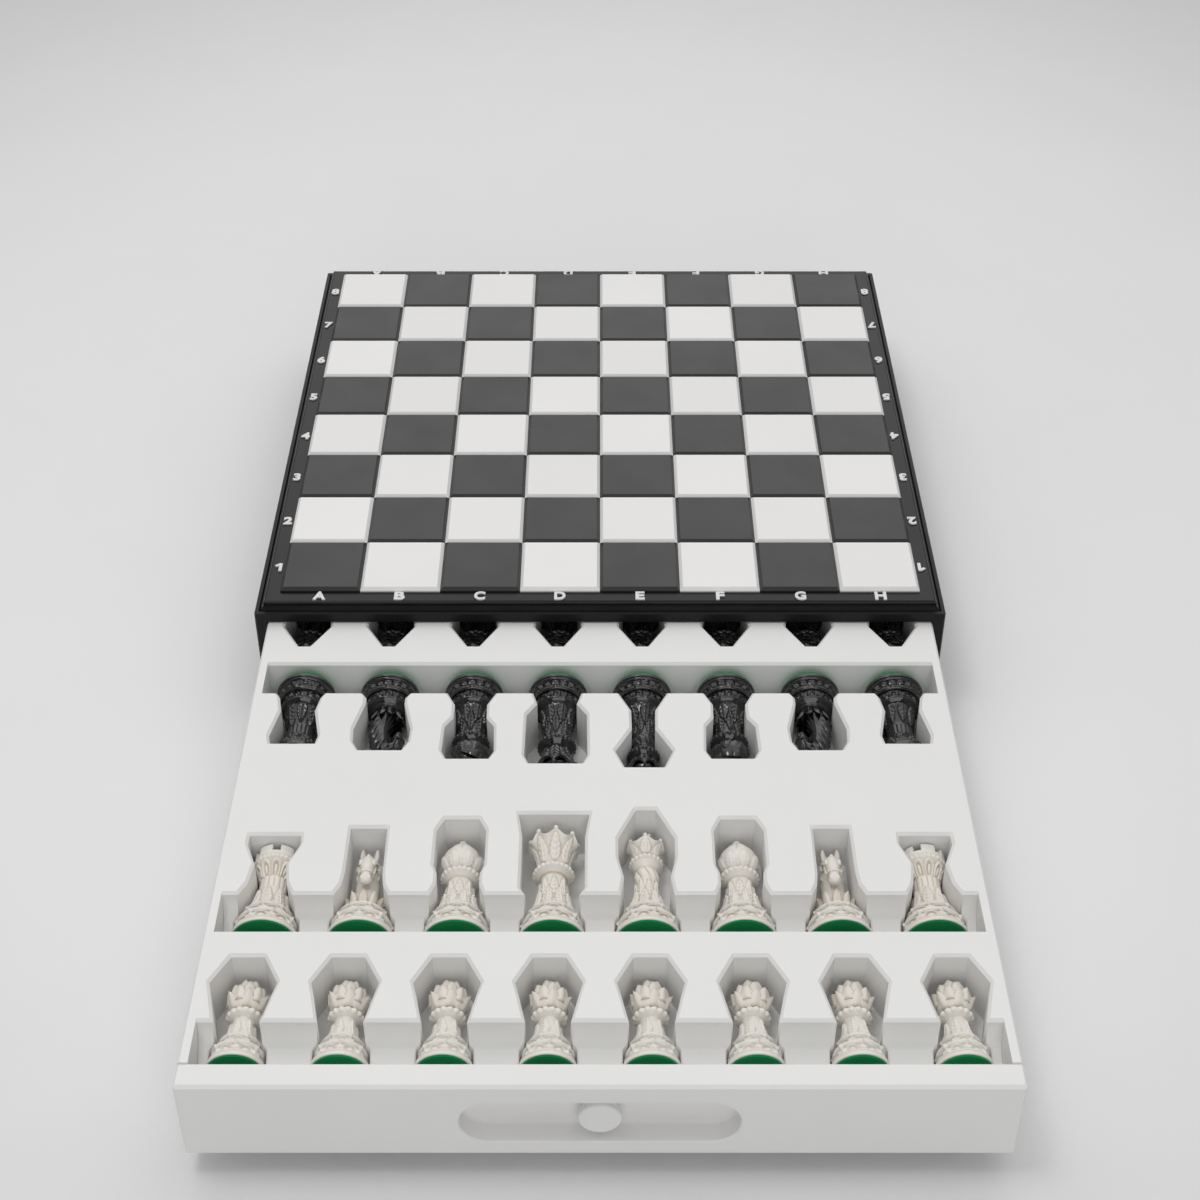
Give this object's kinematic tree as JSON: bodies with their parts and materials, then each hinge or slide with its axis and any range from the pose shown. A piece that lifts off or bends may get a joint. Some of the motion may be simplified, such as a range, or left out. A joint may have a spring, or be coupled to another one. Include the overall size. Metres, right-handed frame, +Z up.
{
  "type": "chess box with drawer",
  "caption": "Low square chess box with a raised tile board on top and a deep drawer whose troughs and shaped pockets hold carved chess men on their sides.",
  "frame": {"origin": "middle of the case's underside, where the box stands on the table", "axes": "+X to the right seen from the drawer, +Y to the back of the box, +Z up; the drawer opens along -Y"},
  "size_m": [0.387, 0.708, 0.0753],
  "materials": {
    "black_lacquer": "semi-gloss black lacquer",
    "dark_tile": "satin dark grey lacquer",
    "light_tile": "satin off-white lacquer",
    "white_lacquer": "matte off-white lacquer",
    "knob": "satin off-white lacquer",
    "screw": "bright zinc",
    "glide": "matte",
    "pin": "satin",
    "ivory_resin": "satin ivory resin",
    "black_resin": "glossy black resin with pale marbling",
    "felt": "green felt",
    "lettering": "satin white, raised"
  },
  "bodies": {
    "case": {"case_bottom": "black_lacquer", "case_left_side": "black_lacquer", "case_right_side": "black_lacquer", "case_back": "black_lacquer", "case_front_rail": "black_lacquer", "board_panel": "black_lacquer", "dark_tiles": "dark_tile", "light_tiles": "light_tile", "glide_strips": "glide", "stop_pins": "pin"},
    "drawer": {"drawer_front": "white_lacquer", "drawer_left_side": "white_lacquer", "drawer_right_side": "white_lacquer", "drawer_back": "white_lacquer", "drawer_bottom": "white_lacquer", "pull_knob": "knob", "knob_screw": "screw", "white_pawn_insert": "white_lacquer", "white_officer_insert": "white_lacquer", "black_officer_insert": "white_lacquer", "black_pawn_insert": "white_lacquer", "black_pawn_1": "black_resin", "black_pawn_2": "black_resin", "black_pawn_3": "black_resin", "black_pawn_4": "black_resin", "black_pawn_5": "black_resin", "black_pawn_6": "black_resin", "black_pawn_7": "black_resin", "black_pawn_8": "black_resin"},
    "white_pawn_1": {"white_pawn_1": "ivory_resin"},
    "white_pawn_2": {"white_pawn_2": "ivory_resin"},
    "white_pawn_3": {"white_pawn_3": "ivory_resin"},
    "white_pawn_4": {"white_pawn_4": "ivory_resin"},
    "white_pawn_5": {"white_pawn_5": "ivory_resin"},
    "white_pawn_6": {"white_pawn_6": "ivory_resin"},
    "white_pawn_7": {"white_pawn_7": "ivory_resin"},
    "white_pawn_8": {"white_pawn_8": "ivory_resin"},
    "white_rook_left": {"white_rook_left": "ivory_resin"},
    "white_knight_left": {"white_knight_left": "ivory_resin"},
    "white_bishop_left": {"white_bishop_left": "ivory_resin"},
    "white_queen": {"white_queen": "ivory_resin"},
    "white_king": {"white_king": "ivory_resin"},
    "white_bishop_right": {"white_bishop_right": "ivory_resin"},
    "white_knight_right": {"white_knight_right": "ivory_resin"},
    "white_rook_right": {"white_rook_right": "ivory_resin"},
    "black_rook_left": {"black_rook_left": "black_resin"},
    "black_knight_left": {"black_knight_left": "black_resin"},
    "black_bishop_left": {"black_bishop_left": "black_resin"},
    "black_queen": {"black_queen": "black_resin"},
    "black_king": {"black_king": "black_resin"},
    "black_bishop_right": {"black_bishop_right": "black_resin"},
    "black_knight_right": {"black_knight_right": "black_resin"},
    "black_rook_right": {"black_rook_right": "black_resin"}
  },
  "joints": [
    {"name": "drawer_slide", "type": "slide", "parent": "case", "child": "drawer", "axis": [0, -1, 0], "range_m": [-0.321, 0]},
    {"name": "white_pawn_1_lift", "type": "slide", "parent": "drawer", "child": "white_pawn_1", "axis": [0, 0, 1], "range_m": [0, 0.045]},
    {"name": "white_pawn_2_lift", "type": "slide", "parent": "drawer", "child": "white_pawn_2", "axis": [0, 0, 1], "range_m": [0, 0.045]},
    {"name": "white_pawn_3_lift", "type": "slide", "parent": "drawer", "child": "white_pawn_3", "axis": [0, 0, 1], "range_m": [0, 0.045]},
    {"name": "white_pawn_4_lift", "type": "slide", "parent": "drawer", "child": "white_pawn_4", "axis": [0, 0, 1], "range_m": [0, 0.045]},
    {"name": "white_pawn_5_lift", "type": "slide", "parent": "drawer", "child": "white_pawn_5", "axis": [0, 0, 1], "range_m": [0, 0.045]},
    {"name": "white_pawn_6_lift", "type": "slide", "parent": "drawer", "child": "white_pawn_6", "axis": [0, 0, 1], "range_m": [0, 0.045]},
    {"name": "white_pawn_7_lift", "type": "slide", "parent": "drawer", "child": "white_pawn_7", "axis": [0, 0, 1], "range_m": [0, 0.045]},
    {"name": "white_pawn_8_lift", "type": "slide", "parent": "drawer", "child": "white_pawn_8", "axis": [0, 0, 1], "range_m": [0, 0.045]},
    {"name": "white_rook_left_lift", "type": "slide", "parent": "drawer", "child": "white_rook_left", "axis": [0, 0, 1], "range_m": [0, 0.045]},
    {"name": "white_knight_left_lift", "type": "slide", "parent": "drawer", "child": "white_knight_left", "axis": [0, 0, 1], "range_m": [0, 0.045]},
    {"name": "white_bishop_left_lift", "type": "slide", "parent": "drawer", "child": "white_bishop_left", "axis": [0, 0, 1], "range_m": [0, 0.045]},
    {"name": "white_queen_lift", "type": "slide", "parent": "drawer", "child": "white_queen", "axis": [0, 0, 1], "range_m": [0, 0.045]},
    {"name": "white_king_lift", "type": "slide", "parent": "drawer", "child": "white_king", "axis": [0, 0, 1], "range_m": [0, 0.045]},
    {"name": "white_bishop_right_lift", "type": "slide", "parent": "drawer", "child": "white_bishop_right", "axis": [0, 0, 1], "range_m": [0, 0.045]},
    {"name": "white_knight_right_lift", "type": "slide", "parent": "drawer", "child": "white_knight_right", "axis": [0, 0, 1], "range_m": [0, 0.045]},
    {"name": "white_rook_right_lift", "type": "slide", "parent": "drawer", "child": "white_rook_right", "axis": [0, 0, 1], "range_m": [0, 0.045]},
    {"name": "black_rook_left_lift", "type": "slide", "parent": "drawer", "child": "black_rook_left", "axis": [0, 0, 1], "range_m": [0, 0.045]},
    {"name": "black_knight_left_lift", "type": "slide", "parent": "drawer", "child": "black_knight_left", "axis": [0, 0, 1], "range_m": [0, 0.045]},
    {"name": "black_bishop_left_lift", "type": "slide", "parent": "drawer", "child": "black_bishop_left", "axis": [0, 0, 1], "range_m": [0, 0.045]},
    {"name": "black_queen_lift", "type": "slide", "parent": "drawer", "child": "black_queen", "axis": [0, 0, 1], "range_m": [0, 0.045]},
    {"name": "black_king_lift", "type": "slide", "parent": "drawer", "child": "black_king", "axis": [0, 0, 1], "range_m": [0, 0.045]},
    {"name": "black_bishop_right_lift", "type": "slide", "parent": "drawer", "child": "black_bishop_right", "axis": [0, 0, 1], "range_m": [0, 0.045]},
    {"name": "black_knight_right_lift", "type": "slide", "parent": "drawer", "child": "black_knight_right", "axis": [0, 0, 1], "range_m": [0, 0.045]},
    {"name": "black_rook_right_lift", "type": "slide", "parent": "drawer", "child": "black_rook_right", "axis": [0, 0, 1], "range_m": [0, 0.045]}
  ]
}
